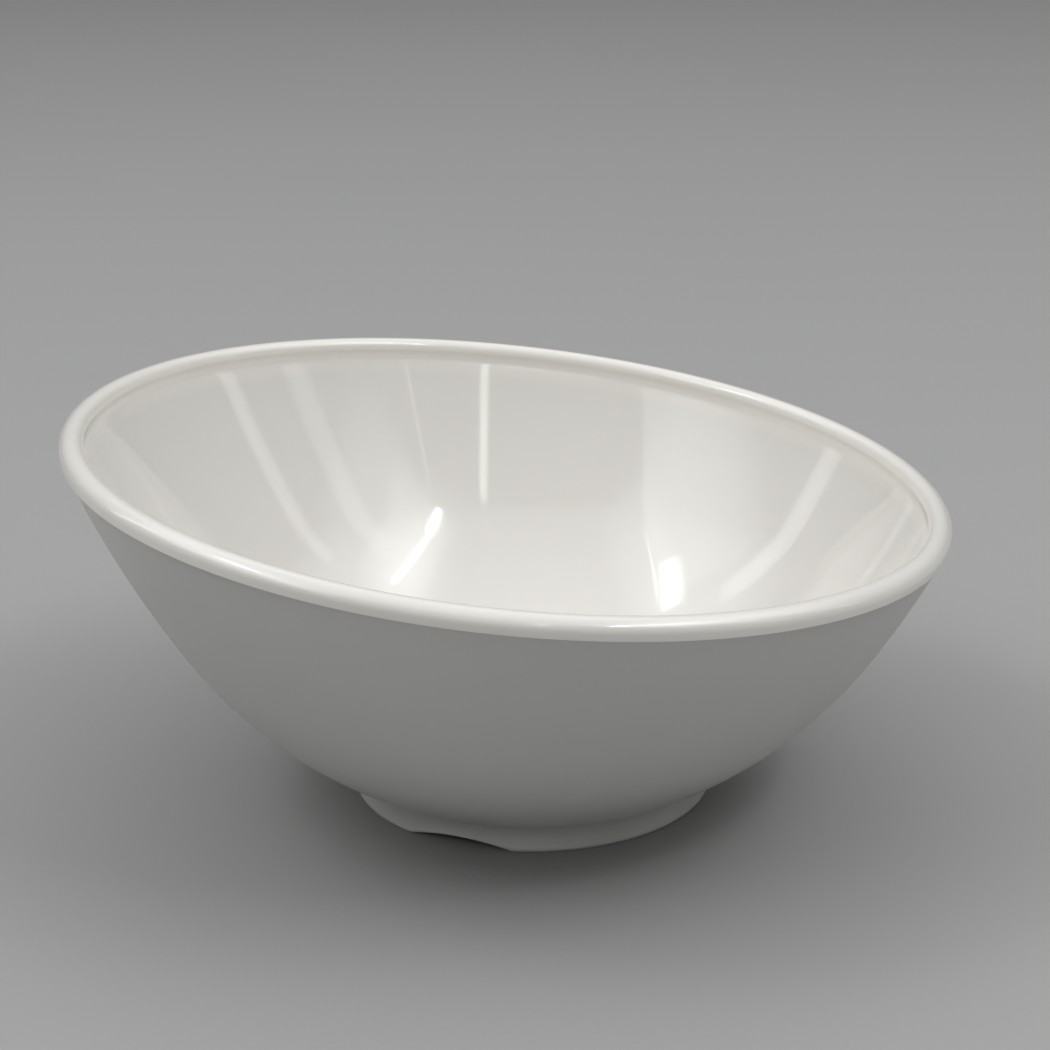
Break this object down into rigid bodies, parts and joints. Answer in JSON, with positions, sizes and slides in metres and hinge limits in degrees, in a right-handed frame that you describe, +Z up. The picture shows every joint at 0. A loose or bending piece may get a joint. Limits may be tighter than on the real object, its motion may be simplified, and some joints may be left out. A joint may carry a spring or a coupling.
{
  "type": "rice bowl",
  "caption": "Round moulded rice bowl with a slanted beaded rim, a glossy inside and a notched foot ring.",
  "frame": {"origin": "centre of the foot ring on the surface that the bowl stands on", "axes": "+Z up along the axis of the bowl and its foot; the slanted rim is highest at -X and lowest at +X, so the XZ plane is its mirror plane"},
  "size_m": [0.1785, 0.1794, 0.08],
  "materials": {
    "moulded_shell": "satin",
    "polished_rim": "gloss",
    "moulded_foot": "satin",
    "inner_glaze": "gloss"
  },
  "bodies": {
    "root": {"bowl_body": "moulded_shell", "rim_bead": "polished_rim", "foot_ring": "moulded_foot", "glaze_lining": "inner_glaze"}
  },
  "joints": []
}
